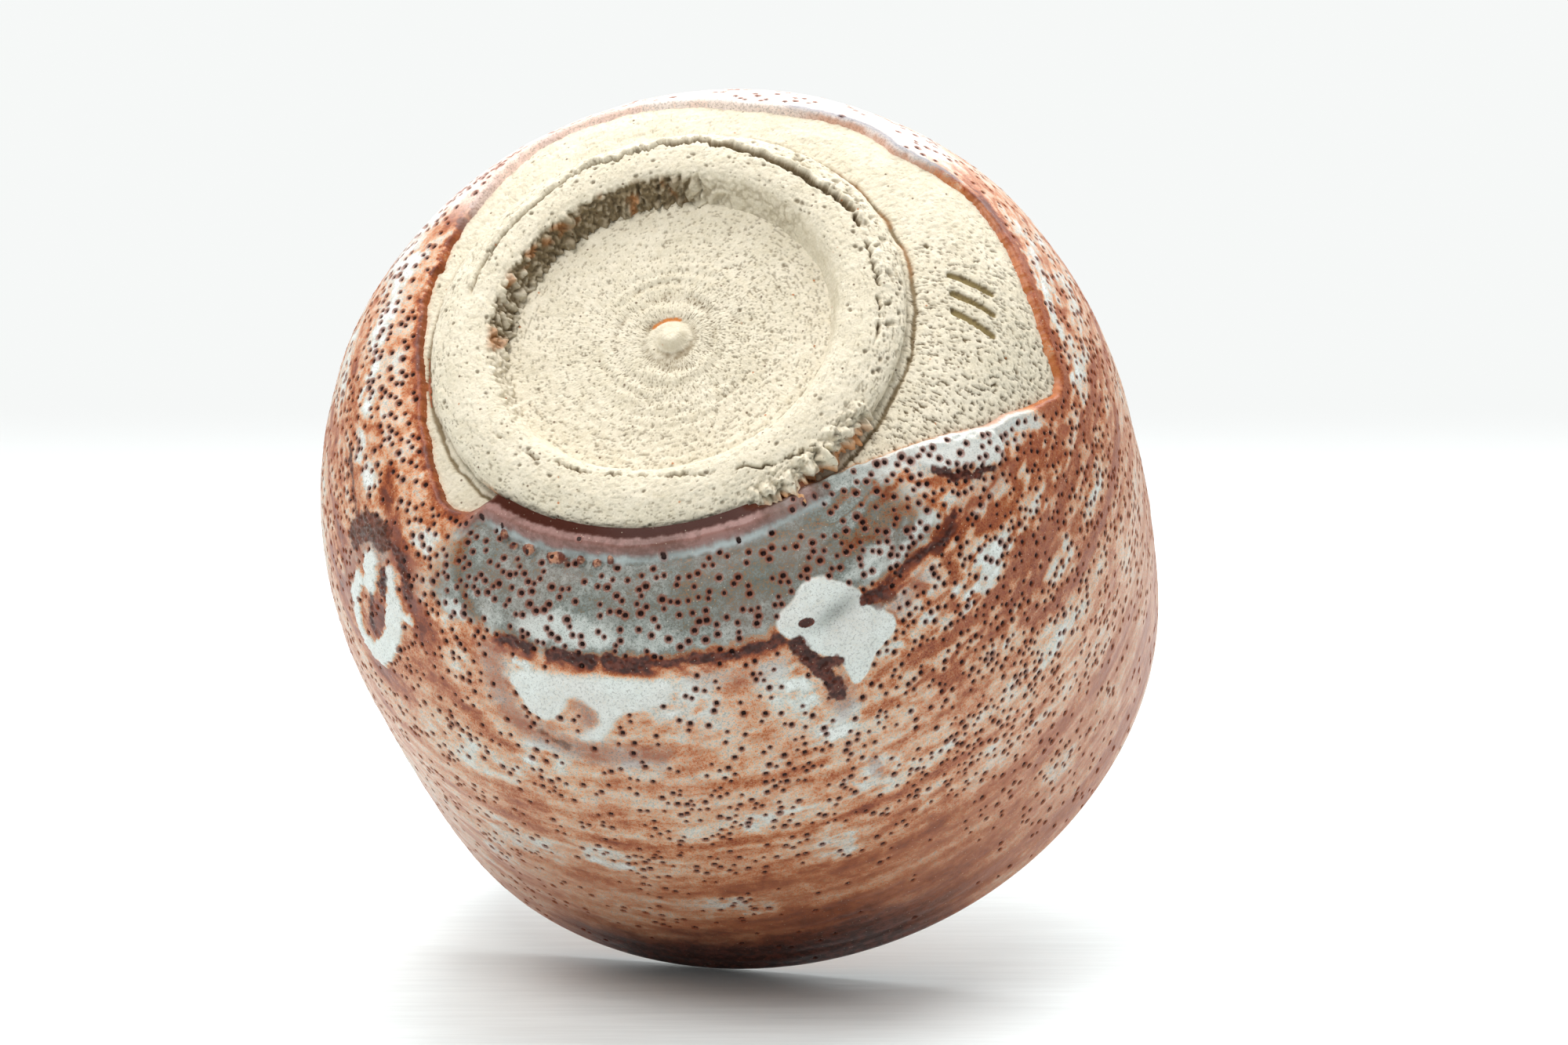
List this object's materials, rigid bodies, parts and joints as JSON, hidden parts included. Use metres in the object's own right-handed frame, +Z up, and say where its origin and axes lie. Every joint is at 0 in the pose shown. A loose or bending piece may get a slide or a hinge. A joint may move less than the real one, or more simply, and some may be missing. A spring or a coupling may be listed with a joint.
{
  "type": "matcha bowl",
  "caption": "Round stoneware tea bowl with full, nearly upright walls, a rounded lip and a low turned foot ring, glazed in mottled rust and grey with bare clay beside the foot.",
  "frame": {"origin": "centre of the foot ring's resting face", "axes": "+Z up through the bowl's mouth; +X and +Y are level, with the widest bare clay towards -X"},
  "size_m": [0.121, 0.121, 0.086],
  "materials": {
    "clay_body": "bare fired stoneware",
    "foot_ring": "bare fired stoneware",
    "outer_glaze": "satin, mottled and pitted",
    "inner_glaze": "satin"
  },
  "bodies": {
    "root": {"clay_body": "clay_body", "foot_ring": "foot_ring", "outer_glaze": "outer_glaze", "inner_glaze": "inner_glaze"}
  },
  "joints": []
}
